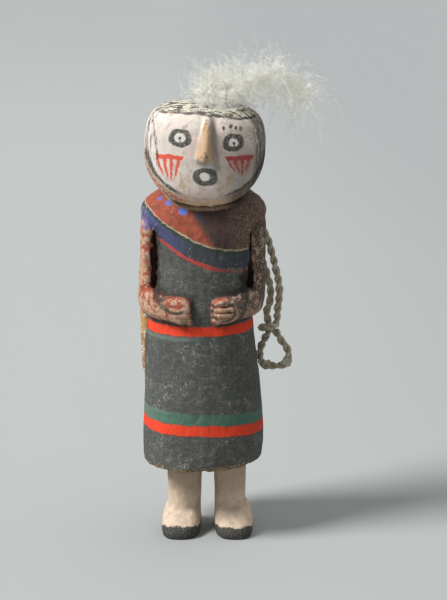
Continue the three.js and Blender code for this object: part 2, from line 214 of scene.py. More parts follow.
def throughPoints(points):
    # a centripetal curve through every point, as the solids have
    perSpan = 16
    p = np.asarray(points, float)
    p = np.vstack([2 * p[0] - p[1], p, 2 * p[-1] - p[-2]])
    line = []
    for i in range(1, len(p) - 2):
        a, b, c, d = p[i - 1:i + 3]
        d0, d1, d2 = [math.sqrt(np.linalg.norm(v)) for v in (b - a, c - b, d - c)]
        t1 = d1 * ((b - a) / d0 - (c - a) / (d0 + d1) + (c - b) / d1)
        t2 = d1 * ((c - b) / d1 - (d - b) / (d1 + d2) + (d - c) / d2)
        for t in np.arange(perSpan) / perSpan:
            line.append(b + t1 * t + (3 * (c - b) - 2 * t1 - t2) * t * t + (2 * (b - c) + t1 + t2) * t ** 3)
    line.append(p[-2])
    return np.array(line)


def lineLength(line):
    return float(np.linalg.norm(np.diff(line, axis=0), axis=1).sum())


def evenly(line, step):
    # the same line with points about a step apart
    run = np.concatenate([[0], np.cumsum(np.linalg.norm(np.diff(line, axis=0), axis=1))])
    spots = np.linspace(0, run[-1], max(3, int(round(run[-1] / step)) + 1))
    return np.stack([np.interp(spots, run, line[:, k]) for k in range(3)], 1)


def unit(v):
    return v / np.linalg.norm(v)


def sideways(line):
    # tangents and two steady directions across a line
    along = np.gradient(line, axis=0)
    along /= np.linalg.norm(along, axis=1)[:, None]
    across = [unit(np.cross(along[0], (0.3, 0.2, 0.9)))]
    for t in along[1:]:
        across.append(unit(across[-1] - t * np.dot(across[-1], t)))
    across = np.array(across)
    return along, across, np.cross(along, across)


def tube(line, radii, sides, verts, faces):
    # a closed tube along a line, added to verts and faces
    across, up = sideways(line)[1:]
    start = len(verts)
    turns = np.arange(sides) * 2 * math.pi / sides
    for i, spot in enumerate(line):
        for turn in turns:
            verts.append(spot + radii[i] * (math.cos(turn) * across[i] + math.sin(turn) * up[i]))
    for i in range(len(line) - 1):
        for k in range(sides):
            a = start + i * sides + k
            b = start + i * sides + (k + 1) % sides
            faces.append((a, b, b + sides, a + sides))
    faces.append(tuple(start + k for k in reversed(range(sides))))
    faces.append(tuple(start + (len(line) - 1) * sides + k for k in range(sides)))


# Cord: two plies of four yarns each, tied round the neck with a hanging loop

cordLook = {
    "diameter": 3.4, "twist": 10.0, "plyOffset": 0.96, "yarnOffset": 0.56, "yarnRadius": 0.54,
    "yarnTwist": -6.5, "yarns": 4, "sides": 5, "step": 0.55, "unevenness": 0.14,
    "fuzz": 12, "fuzzLength": 2.4, "fuzzWidth": 0.05,  # fuzz counts fibres in a millimetre
    "cotton": "#c9bfa8", "soiled": "#9a907a", "pale": "#ded7c6",
    "knot": {"middle": (0, 22.3, 179.2), "halves": (5.6, 3.6, 4.1), "radius": 1.5, "turn": 0.0},
    "lumps": {
        "loop_lump_right": {"middle": (42, 13.8, 83.4), "halves": (2.8, 2.6, 2.7), "radius": 1, "turn": 1.1},
        "loop_lump_left": {"middle": (31.4, 15.9, 81.2), "halves": (2.8, 2.5, 2.4), "radius": 1, "turn": 1.1},
    },
}
neckRing = {
    "halfWidth": 18.45, "halfDepth": 16.45, "pull": 3, "middleY": 1, "z": 175.5, "slope": 0.2, "endTurn": 16,
}
outerStrand = [
    (4.6, 24, 176.1), (12.5, 22.8, 168), (20.5, 19, 160.5), (27.5, 15.6, 154.5), (31.6, 14, 148),
    (34, 13.4, 140), (36, 13, 132), (37.6, 13, 124), (37.8, 13, 118), (36.9, 13.6, 111),
]
wrapTurn = {"x": 32.6, "y": 15.6, "z": 101, "radius": 3.8, "drop": 4.4, "spots": 6}
loopPoints = [
    (38.8, 14.4, 94.8), (41.6, 14, 91.2), (42.8, 13.8, 87), (41.8, 13.8, 82.8), (38, 14.2, 81.2),
    (33.6, 15.2, 81), (29.4, 16.8, 82), (28, 17.6, 87), (29.8, 17.2, 93.3),
]
innerStrand = [
    (32.2, 15.8, 98.5), (32.4, 15.4, 103.5), (31.4, 15.4, 109), (33, 15.8, 114.5), (33.4, 16, 120.5),
    (32, 16.4, 127), (29.6, 17.4, 134), (24.5, 18.6, 143.5), (17.5, 20.6, 153.5), (10.5, 23.2, 162),
    (4.6, 24.4, 168), (0.2, 24.2, 174.3),
]


def cottonMaterial(look):
    material, wire = newMaterial("cotton_cord")
    place = dollPlace(wire)
    blotch = grain(place, (0.16, 0.16, 0.16), 3)
    fibre = grain(place, (2.2, 2.2, 1.4), 5, 0.65, 7.0)
    colour = fibre.rise(0.3, 0.75).over(tint(look["soiled"]), tint(look["cotton"]))
    colour = (blotch.rise(0.5, 0.72) * 0.7).over(colour, tint(look["pale"]))
    bump = wire.node("Bump", None, {"Strength": 0.35, "Distance": 0.00025, "Height": fibre})
    finishMaterial(wire, colour, 0.95, 0.15, {"Normal": bump})
    return material


def ringLine(ring):
    line = []
    for turn in np.radians(np.linspace(ring["endTurn"], 360 - ring["endTurn"], 19)):
        depth = ring["halfDepth"] + ring["pull"] * max(0, math.cos(turn))
        y = ring["middleY"] + depth * math.cos(turn)
        line.append((ring["halfWidth"] * math.sin(turn), y, ring["z"] + ring["slope"] * y))
    return throughPoints(line)


def hangingLine(wrap):
    turns = []
    for i in range(wrap["spots"] + 1):
        share = i / wrap["spots"]
        turn = 2 * math.pi * share
        x = wrap["x"] + wrap["radius"] * math.cos(turn)
        y = wrap["y"] - wrap["radius"] * math.sin(turn)
        turns.append((x, y, wrap["z"] + wrap["drop"] * (0.5 - share)))
    return throughPoints(outerStrand + turns + loopPoints + innerStrand)


def looseFibre(chance, spot, along, out, look):
    # a thin blade that lifts off the plies
    root = spot + out * chance.uniform(1.1, 1.55)
    lift = chance.uniform(0.15, 0.75)
    aim = out * lift + along * chance.choice((-1, 1)) * (1 - lift * 0.5)
    length = look["fuzzLength"] * chance.uniform(0.3, 1)
    wide = np.cross(aim, out + 0.3 * along)
    wide *= look["fuzzWidth"] / (np.linalg.norm(wide) + 1e-6)
    bend = root + aim * length * 0.55
    tip = root + aim * length * 0.8 + out * length * chance.uniform(-0.15, 0.25)
    return [root - wide, root + wide, bend + wide, bend - wide, tip]


def twistedCord(name, line, look, material, seed):
    chance = random.Random(seed)
    line = evenly(line, look["step"])
    along, across, up = sideways(line)
    run = np.arange(len(line)) * look["step"]
    swell = np.array([1 + look["unevenness"] * noise.noise((s * 0.21, seed, 0.0)) for s in run])
    verts, faces = [], []
    for ply in range(2):
        turn = (2 * math.pi * run / look["twist"] + math.pi * ply)[:, None]
        middle = line + look["plyOffset"] * swell[:, None] * (np.cos(turn) * across + np.sin(turn) * up)
        plyAcross, plyUp = sideways(middle)[1:]
        for yarn in range(look["yarns"]):
            spin = (2 * math.pi * (run / look["yarnTwist"] + yarn / look["yarns"]))[:, None]
            path = middle + look["yarnOffset"] * (np.cos(spin) * plyAcross + np.sin(spin) * plyUp)
            lumpy = [1 + 0.25 * noise.noise((s * 0.5, yarn * 7.1, ply + seed * 3.3)) for s in run]
            tube(path, look["yarnRadius"] * swell * np.array(lumpy), look["sides"], verts, faces)
    for _ in range(int(lineLength(line) * look["fuzz"])):
        k = chance.randrange(2, len(line) - 2)
        turn = chance.uniform(0, 2 * math.pi)
        out = math.cos(turn) * across[k] + math.sin(turn) * up[k]
        start = len(verts)
        verts += looseFibre(chance, line[k], along[k], out, look)
        faces += [(start, start + 1, start + 2, start + 3), (start + 3, start + 2, start + 4)]
    return newObject(name, metres(verts), faces, material)


def knotPiece(name, knot, material):
    # a trefoil drawn tight
    line = []
    for t in np.linspace(0, 2 * math.pi, 121)[:-1]:
        ring = 1 + 0.5 * math.cos(3 * t + knot["turn"])
        line.append((ring * math.cos(2 * t), ring * math.sin(2 * t), 0.5 * math.sin(3 * t + knot["turn"])))
    line = np.array(line + line[:1])
    line *= (np.array(knot["halves"]) - knot["radius"]) / np.abs(line).max(0)
    radii = knot["radius"] * (1 + 0.12 * np.sin(9 * np.linspace(0, 6, len(line))))
    verts, faces = [], []
    tube(line + np.array(knot["middle"]), radii, 8, verts, faces)
    return newObject(name, metres(verts), faces, material)


def makeCords(look):
    cotton = cottonMaterial(look)
    ring = ringLine(neckRing)
    hanging = hangingLine(wrapTurn)
    neckCord = twistedCord("neck_cord", ring, look, cotton, 3)
    hangingCord = twistedCord("hanging_cord", hanging, look, cotton, 8)
    knot = knotPiece("nape_knot_cord", look["knot"], cotton)
    keepOnDoll(neckCord, "cotton_cord", "cord_neck")
    keepOnDoll(hangingCord, "cotton_cord", "cord_hanging")
    keepOnDoll(knot, "cotton_cord", "nape_knot")
    lumps = [knotPiece(name, lump, cotton) for name, lump in look["lumps"].items()]
    for lump in lumps:
        keepOnDoll(lump, "cotton_cord")
    print("cords made, hanging", round(lineLength(hanging)), "mm, neck", round(lineLength(ring)), "mm")


makeCords(cordLook)


# Down plume: a dense puff on the crown and an arching shaft, every barb with fine barbules

plumeLook = {
    "shaft": [(0, -4, 219.6), (6, -4, 221), (15, -3, 225.4), (26, -1, 230.2), (36, 0, 230.4),
              (44, 1, 227), (49, 1.5, 222)],
    "shaftRadius": 0.35, "curl": 0.3, "barbWidth": 0.12,
    "barbuleSpacing": 0.42, "barbule": 4.4, "barbuleWidth": 0.11,
    "hairTop": 217.5, "hairReach": 24, "lowest": 150.0,  # barbs stay above the hair as far out as it reaches
    "puff": {"count": 820, "from": 0.0, "to": 0.3, "length": 19, "spread": 0.5, "lean": 0.0, "lowest": -0.1,
             "droop": 0.3},
    "wisps": {"count": 80, "from": 0.0, "to": 0.75, "length": 21, "spread": 0.4, "lean": -0.1, "lowest": 0.5,
              "droop": 0.0},
    "arch": {"count": 330, "from": 0.25, "to": 1.0, "length": 21, "spread": 0.5, "lean": 0.35, "lowest": -0.8,
             "droop": 0.5},
    "white": "#e8e7e0", "shadow": "#d4d2c8", "glow": 0.1,  # light that passes through the down
}


def downMaterial(look):
    material, wire = newMaterial("down")
    place = dollPlace(wire)
    patch = grain(place, (0.2, 0.2, 0.2), 3)
    # patches of painted shade over the white down
    colour = patch.rise(0.35, 0.65).over(tint(look["shadow"]), tint(look["white"]))
    # a painted glow standing in for light that passes through the down
    glow = {"Emission Color": tint(look["white"]), "Emission Strength": look["glow"]}
    finishMaterial(wire, colour, 0.9, 0.1, glow)
    return material


def barbLine(chance, root, tangent, tuft, share, curl):
    # one barb from its root on the shaft, bending as it goes
    side = unit(np.cross((0, 1, 0), tangent))
    turn = chance.uniform(0, 2 * math.pi)
    out = side * math.cos(turn) + np.cross(tangent, side) * math.sin(turn)
    lean = tuft["lean"] + chance.uniform(-0.35, 0.35)
    aim = unit(tangent * lean + out * (1 - abs(lean)))
    aim[2] = max(aim[2], tuft["lowest"] + chance.uniform(0, 0.25))
    aim = unit(aim)
    length = tuft["length"] * (1 - tuft["spread"] * chance.random())
    swayA = unit(np.cross(aim, (0.2, 0.9, 0.3)))
    swayB = np.cross(aim, swayA)
    phase = chance.uniform(0, 2 * math.pi)
    bend = curl * chance.uniform(0.2, 1.3)
    t = np.linspace(0, 1, 13)[:, None]
    sway = np.sin(phase + 4.2 * t) - math.sin(phase)
    swing = np.cos(phase * 1.7 + 3.1 * t) - math.cos(phase * 1.7)
    line = root + length * (aim * t + bend * t * (sway * swayA + swing * swayB))
    line[:, 2] -= (tuft["droop"] * length * t * t * share)[:, 0]
    return line


def growBarb(chance, line, look, verts, faces):
    # a tapering ribbon with a barbule at every point
    overHair = look["hairTop"] if line[-1, 0] < look["hairReach"] else look["lowest"]
    line[:, 2] = np.maximum(line[:, 2], overHair)
    along, across, up = sideways(line)
    reach = len(line) - 1
    face = chance.uniform(0, math.pi)
    wide = math.cos(face) * across + math.sin(face) * up
    start = len(verts)
    for i in range(0, reach + 1, 4):
        half = look["barbWidth"] * 0.5 * (1 - 0.8 * i / reach)
        verts += [line[i] - wide[i] * half, line[i] + wide[i] * half]
    for a in range(start, len(verts) - 2, 2):
        faces.append((a, a + 1, a + 3, a + 2))
    for i in range(2, reach):
        turn = chance.uniform(0, 2 * math.pi)
        out = math.cos(turn) * across[i] + math.sin(turn) * up[i]
        aim = out + along[i] * chance.uniform(0.1, 1.0)
        size = look["barbule"] * chance.uniform(0.4, 1.1) * (1 - 0.6 * i / reach)
        tip = line[i] + aim * size * 0.8
        tip[2] = max(tip[2], overHair - 0.6)
        thick = np.cross(aim, out + 0.5 * up[i])
        thick *= look["barbuleWidth"] * 0.5 / (np.linalg.norm(thick) + 1e-6)
        start = len(verts)
        verts += [line[i] - thick, line[i] + thick, tip]
        faces.append((start, start + 1, start + 2))


def makePlume(look):
    chance = random.Random(11)
    shaft = evenly(throughPoints(look["shaft"]), 0.8)
    along = sideways(shaft)[0]
    verts, faces = [], []
    tube(shaft, look["shaftRadius"] * np.linspace(1, 0.25, len(shaft)), 6, verts, faces)
    for name in ("puff", "wisps", "arch"):
        tuft = look[name]
        for index in range(tuft["count"]):
            share = tuft["from"] + (tuft["to"] - tuft["from"]) * (index + chance.random()) / tuft["count"]
            k = int(share * (len(shaft) - 1))
            line = barbLine(chance, shaft[k], along[k], tuft, share, look["curl"])
            growBarb(chance, evenly(line, look["barbuleSpacing"]), look, verts, faces)
    plume = newObject("down_feather", metres(verts), faces, downMaterial(look))
    keepOnDoll(plume, "down", "down_plume")
    print("plume made,", len(faces), "faces")


makePlume(plumeLook)


# Carved figure: the solid's own shape, eased, with knife marks and chips

figureLook = {
    "voxel": 0.73, "easing": 8, "knifeMarks": 0.28, "armMarks": 0.5, "headMarks": 0.12,
    "fingers": {"depth": 1.1, "half": 0.6, "grooves": (-3.1, 0.0, 3.1), "tipTurn": 8, "endTurn": 34,
                "rightHand": 0.3},
    "hem": {"z": 38.5, "slope": 0.035, "half": 1.4, "inside": 24, "chips": 0.7},
    "noseRidge": {"height": 1.7, "half": 1.9, "x": 0.2, "lean": 0.1, "middleZ": 194, "low": 193, "high": 217},
    # ragged sides to both arm gaps
    "gaps": {"middleX": -1.6, "offX": 21.6, "reach": 3.6, "middleZ": 138, "halfZ": 22, "rough": 1.1},
    # the left gap is drawn in towards its top
    "pinch": {"x": 22.65, "reach": 6.0, "draw": 1.7, "low": 136, "high": 146, "top": 164},
}
headForm = {"middle": (0.2, -1.5, 195.5), "halfWidth": 29.7, "halfDepth": 26.5, "crown": 23.2, "chin": 28,
            "roll": 3.5, "bend": 0.0085, "low": 164, "clear": 186}
neckForm = {"halfX": 16, "halfY": 14, "middleY": 1, "top": 177.6, "slope": 0.2}
forearmForm = {"middleX": -1.6, "reachX": 26.6, "reachY": 25.2, "elbowZ": 121.8, "handZ": 119.4, "halfZ": 7.4,
               "elbowTurn": 96}
upperArmForm = {"elbowX": (-27.5, 24.9), "shoulderX": (-26.2, 25.4), "middleY": -0.6, "halfX": 5.7,
                "halfY": 9.5, "elbowZ": 115.5, "length": 50.5, "low": 113.5, "high": 163}
ridgeForm = {"middleX": -26.4, "middleY": 2, "halfX": 6.1, "halfY": 7, "edgeX": -27, "low": 72, "high": 116,
             "tipY": 1.2, "tipZ": 75, "length": 36, "tipHalf": 0.8, "widening": 5.4}
legForm = {"top": 37.2, "slope": 0.035}


def headValue(p):
    # about 1 on the head's surface, less inside it
    form = headForm
    v = p - np.array(form["middle"])
    roll = math.radians(form["roll"])
    x = v[:, 0] * math.cos(roll) - v[:, 2] * math.sin(roll)
    z = v[:, 0] * math.sin(roll) + v[:, 2] * math.cos(roll)
    y = v[:, 1] - form["bend"] * x * x * np.clip(-v[:, 1] / form["halfDepth"], 0, 1)
    square = np.where(z > 0, 3.5, 2.1)
    tall = np.where(z > 0, form["crown"], form["chin"])
    reach = (np.abs(x / form["halfWidth"]) ** square + np.abs(z / tall) ** square) ** (1 / square)
    return reach ** 3.6 + np.abs(y / form["halfDepth"]) ** 3.6


def onForearm(p):
    # where the forearms are, and each point's turn round the trunk from the front
    form = forearmForm
    x, y, z = p.T
    turnX = (x - form["middleX"]) / form["reachX"]
    turnY = y / form["reachY"]
    turn = np.degrees(np.arctan2(turnX, -turnY))
    drop = form["elbowZ"] - form["handZ"]
    barZ = form["handZ"] + drop * np.abs(turn) / form["elbowTurn"]
    return (np.hypot(turnX, turnY) > 0.965) & (np.abs(z - barZ) < form["halfZ"]) & (y < 4), turn


def figureParts(p, forearm):
    # which part of the doll each point lies on
    x, y, z = p.T
    neck = np.hypot(x / neckForm["halfX"], (y - neckForm["middleY"]) / neckForm["halfY"]) < 1.07
    neck &= z < neckForm["top"] + neckForm["slope"] * y
    head = ((headValue(p) < 1.1) & ~neck & (z > headForm["low"])) | (z > headForm["clear"])

    arm = upperArmForm
    upperArm = np.zeros(len(p), bool)
    raised = np.clip((z - arm["elbowZ"]) / arm["length"], 0, 1)
    offY = (y - arm["middleY"]) / arm["halfY"]
    for elbowX, shoulderX in zip(arm["elbowX"], arm["shoulderX"]):
        offX = (x - elbowX - (shoulderX - elbowX) * raised) / arm["halfX"]
        upperArm |= np.abs(offX) ** 2.4 + np.abs(offY) ** 2.4 < 1.12
    upperArm &= (z > arm["low"]) & (z < arm["high"])

    strip = ridgeForm
    ridgeX = (x - strip["middleX"]) / strip["halfX"]
    ridge = np.hypot(ridgeX, (y - strip["middleY"]) / strip["halfY"]) < 1.06
    ridge &= (x < strip["edgeX"]) & (z > strip["low"]) & (z < strip["high"]) & ~forearm
    taper = np.clip((z - strip["tipZ"]) / strip["length"], 0, 1) ** 0.8
    ridge &= np.abs(y - strip["tipY"]) < strip["tipHalf"] + strip["widening"] * taper
    leg = z < legForm["top"] + legForm["slope"] * x
    return {"onHead": head, "onArm": upperArm | forearm, "onRidge": ridge, "onLeg": leg}


def easedOver(values, edges, rounds):
    # rounds of averaging halfway to the neighbours
    a, b = edges.T
    size = len(values)
    counts = np.bincount(edges.ravel(), minlength=size).astype(float)
    for _ in range(rounds):
        total = [np.bincount(a, v[b], size) + np.bincount(b, v[a], size) for v in values.T]
        values = values + 0.5 * (np.stack(total, 1) / counts[:, None] - values)
    return values


def waves(points, stretch, octaves, shift):
    spots = points * np.array(stretch) + shift
    return np.array([noise.fractal(Vector(s), 0.9, 2.1, octaves) for s in spots])


def vertexValues(mesh, kind):
    flat = np.empty(len(mesh.vertices) * 3)
    mesh.vertices.foreach_get(kind, flat)
    return flat.reshape(-1, 3)


def setSpots(mesh, p):
    mesh.vertices.foreach_set("co", metres(p).ravel())
    mesh.update()


def blockOut(look):
    # the solid as an even mesh, its facets eased away
    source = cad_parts["carved_figure"]
    figure = addObject("painted_figure", source.data.copy())
    block = figure.modifiers.new("block", "REMESH")
    block.mode = "VOXEL"
    block.voxel_size = look["voxel"] * mm
    mesh = bpy.data.meshes.new_from_object(figure.evaluated_get(bpy.context.evaluated_depsgraph_get()))
    figure.modifiers.clear()
    figure.data = mesh
    p = vertexValues(mesh, "co") / mm - figureAxis
    pairs = np.empty(len(mesh.edges) * 2, int)
    mesh.edges.foreach_get("vertices", pairs)
    edges = pairs.reshape(-1, 2)
    sole = p[:, 2] < 0.4
    p = easedOver(p, edges, look["easing"])
    p[sole, 2] = np.minimum(p[sole, 2], 0.15)
    setSpots(mesh, p)
    return figure, p, edges


def carvedDepth(p, parts, forearm, turn, look):
    # how far the knife leaves each point above the eased shape
    x, y, z = p.T
    marks = np.full(len(p), look["knifeMarks"])
    marks[parts["onArm"]] = look["armMarks"]
    marks[parts["onHead"]] = look["headMarks"]
    depth = marks * (waves(p, (0.13, 0.13, 0.05), 3, 4.0) + 0.5 * waves(p, (0.4, 0.4, 0.2), 2, 19.0))

    # slots between the fingers, shallower on the right hand
    fingers = look["fingers"]
    bend = np.abs(turn)
    hand = forearm & (bend > fingers["tipTurn"]) & (bend < fingers["endTurn"]) & (y < -20)
    reach = hand * np.clip((fingers["endTurn"] - bend) / 8, 0, 1)
    reach = reach * np.where(turn > 0, 1.0, fingers["rightHand"])
    for groove in fingers["grooves"]:
        slot = np.exp(-((z - forearmForm["handZ"] - groove) / fingers["half"]) ** 2)
        depth -= fingers["depth"] * slot * reach

    # small losses along the hem
    hem = look["hem"]
    atHem = np.exp(-((z - hem["z"] - hem["slope"] * x) / hem["half"]) ** 2) * (np.hypot(x, y) > hem["inside"])
    depth -= 2 * hem["chips"] * atHem * np.clip(waves(p, (0.3, 0.3, 0.3), 3, 31.0) - 0.05, 0, 1)

    # a knife-sharp ridge down the nose from the hairline
    nose = look["noseRidge"]
    ridge = np.exp(-((x - nose["x"] - nose["lean"] * (z - nose["middleZ"])) / nose["half"]) ** 2) * (y < -18)
    ridge *= np.clip((z - nose["low"]) / 4, 0, 1) * np.clip((nose["high"] - z) / 3, 0, 1)
    depth += nose["height"] * ridge
    depth[z < 1.2] = 0  # the soles stay flat
    return depth


def shapeArmGaps(p, look):
    # moves the points of p sideways
    x, y, z = p.T
    gaps = look["gaps"]
    offX = np.abs(np.abs(x - gaps["middleX"]) - gaps["offX"])
    beside = np.clip(gaps["reach"] - offX, 0, 1) * (np.abs(z - gaps["middleZ"]) < gaps["halfZ"])
    x += gaps["rough"] * beside * (y < 4) * waves(p, (0.28, 0.28, 0.28), 3, 47.0)
    pinch = look["pinch"]
    off = x - pinch["x"]
    drawn = np.clip((z - pinch["low"]) / (pinch["high"] - pinch["low"]), 0, 1)
    drawn *= np.clip(1 - np.abs(off) / pinch["reach"], 0, 1) * np.clip((pinch["top"] - z) / 4, 0, 1)
    x[:] = pinch["x"] + np.sign(off) * np.maximum(np.abs(off) - pinch["draw"] * drawn, 0.08 * np.abs(off))


def markWear(mesh, p, edges, parts):
    # how far each point stands proud of its surroundings, near and wide, goes to the paint with the parts
    normals = vertexValues(mesh, "normal")
    near = ((p - easedOver(p, edges, 10)) * normals).sum(1)
    wide = ((p - easedOver(p, edges, 60)) * normals).sum(1)
    fields = {name: mask.astype(float) for name, mask in parts.items()}
    fields["edgeWear"] = np.clip(near / 0.16, 0, 1) * 0.6 + np.clip(wide / 0.7, 0, 1) * 0.4
    fields["hollow"] = np.clip(-near / 0.14, 0, 1) * 0.5 + np.clip(-wide / 0.6, 0, 1) * 0.5
    for name, values in fields.items():
        eased = easedOver(values[:, None], edges, 1)[:, 0]
        mesh.attributes.new(name, "FLOAT", "POINT").data.foreach_set("value", eased.astype(np.float32))


def makeFigure(look):
    figure, p, edges = blockOut(look)
    mesh = figure.data
    forearm, turn = onForearm(p)
    parts = figureParts(p, forearm)
    p = p + vertexValues(mesh, "normal") * carvedDepth(p, parts, forearm, turn, look)[:, None]
    shapeArmGaps(p, look)
    p[:, 2] = np.maximum(p[:, 2], 0)
    setSpots(mesh, p)
    markWear(mesh, p, edges, parts)
    mesh.shade_smooth()
    mesh.materials.clear()
    mesh.materials.append(paintMaterial(paintLook))
    keepOnDoll(figure, "painted_wood", "carved_figure")
    print("figure made,", len(mesh.polygons), "faces")


# Paint: a white ground over the wood, mineral colours on it, worn back along edges and arms

paintLook = {
    "wood": "#b58a5c", "darkWood": "#7a5838", "goldWood": "#c2954f", "ground": "#ddd5c8", "dirt": "#332c26",
    "rubbed": "#b0836a", "rubbedPale": "#d0b295", "soot": "#423b39",
    "face": "#d9d0c6", "facePink": "#e0cbc3", "faceGrey": "#ada396", "faceTan": "#c0986f",
    "hair": "#34312d", "hairGround": "#dfd9c6", "line": "#3c3935",
    "eyeRing": "#4e4c46", "mouthRing": "#56554e", "eyeWhite": "#e4ded8",
    "cheek": "#e0492b", "cheekDark": "#a33a36",
    "earth": "#a1533f", "earthDark": "#74402f", "bead": "#5b76c4", "shoulderBlue": "#7472a8",
    "dress": "#4b4b48", "dressPale": "#85857e", "dressGreen": "#4d524d", "dust": "#a5a49b",
    "border": "#4b4e76", "slate": "#40434a", "borderGreen": "#36433d", "borderLine": "#c4b092",
    "redLine": "#c0463d", "belt": "#e54528", "green": "#456c5b", "greenGrey": "#6c776e",
    "boot": "#d3bfa9", "bootShade": "#a98f79", "soleGrey": "#42413d", "bracelet": "#3d4a42",
}
# waves in a millimetre along each axis, then detail, roughness and shift
cloudLook = {
    "slow": ((0.17, 0.17, 0.17), 2, 0.5, 3.0), "slowUp": ((0.17, 0.17, 0.17), 2, 0.5, 41.0),
    "quick": ((0.8, 0.8, 0.8), 3, 0.6, 11.0), "broad": ((0.06, 0.06, 0.06), 3, 0.5, 8.0),
    "medium": ((0.34, 0.34, 0.24), 7, 0.66, 15.0), "patch": ((0.24, 0.24, 0.28), 5, 0.6, 91.0),
    "fine": ((1.2, 1.2, 1.0), 5, 0.65, 23.0), "speck": ((1.6, 1.6, 1.6), 2, 0.5, 57.0),
    "fibres": ((1.5, 1.5, 0.07), 4, 0.6, 2.0), "streak": ((0.9, 0.9, 0.16), 3, 0.6, 71.0),
    "strokes": ((0.2, 0.7, 0.7), 3, 0.6, 33.0),
}
bodyMarks = {
    "beads": [(-21.5, -4.0, 171.0, 2.0, 0.75), (-16.6, -9.5, 169.6, 2.7, 1.0),  # x, y, z, size, strength
              (-10.1, -15.6, 167.8, 2.7, 0.95), (-2.3, -18.8, 166.2, 2.5, 0.5)],
    "shoulderPatch": ((-28.4, 162.5), (5.0, 5.5)),  # middle and halves of an oval
    "upperEdge": (152.23, -0.352, 0.0086), "lowerEdge": (141.4, -0.354, 0.0079),  # height, slope and bend
    "belt": (109.2, 2.4), "underBelt": (105.2, 1.0),  # height and half of a band
    "hemRed": 59.4, "hemDip": 0.0026, "redHalf": 2.7, "greenOver": (5.7, 2.9), "frayOver": (8.0, 0.8),
    "cuff": ((-13.5, 123.4), (7.6, 3.9)), "handRing": ((9.8, 119.6), (6.6, 5.4)), "wristBand": (19.4, 1.1),
}
faceMarks = {
    # middle, top, half width, reach, drift, draw, smear, colour
    "cheeks": [(-16.2, 195.9, 6.6, 13, 0.04, 24, 0.0, "cheek"),
               # the cheek on the figure's left in a darker red, as painted shade
               (17.4, 195.2, 6.4, 10.5, 0.1, 17, 0.42, "cheekDark")],
    # middle, halves, share of the pale middle, colour
    "rings": [((-11.1, 205.0), (5.4, 4.3), 0.5, "eyeRing"), ((14.2, 202.6), (5.2, 4.3), 0.44, "eyeRing"),
              ((0.7, 186.6), (6.0, 4.4), 0.42, "mouthRing")],
    # middle and strength
    "lashes": [((-9.2, 210), 0.35), ((-7.8, 210.4), 0.35), ((9.7, 209.7), 0.9), ((13.1, 210.5), 0.9),
               ((15.4, 209.5), 0.9), ((17.8, 208.9), 0.7)],
    "jaw": ((1.5, 199), (28.8, 23.8)), "hairline": 216.6, "hairDip": 2.8,
}


def oval(spot, middle, halves, power=2):
    # 1 on the line of an oval, less inside it
    x = abs((spot.x - middle[0]) / halves[0]) ** power
    z = abs((spot.z - middle[1]) / halves[1]) ** power
    return (x + z) ** (1 / power)


def brushSpot(place, cloud):
    # an unsteady brush: x and z wander a little
    split = place.node("SeparateXYZ", None, {0: place})
    brush = (cloud.quick - 0.5) * 0.8
    x = split + (cloud.slow - 0.5) * 2.0 + brush
    z = split.twin(2) + (cloud.slowUp - 0.5) * 2.0 + brush
    return SimpleNamespace(x=x, y=split.twin(1), z=z, trueX=split, trueZ=split.twin(2))


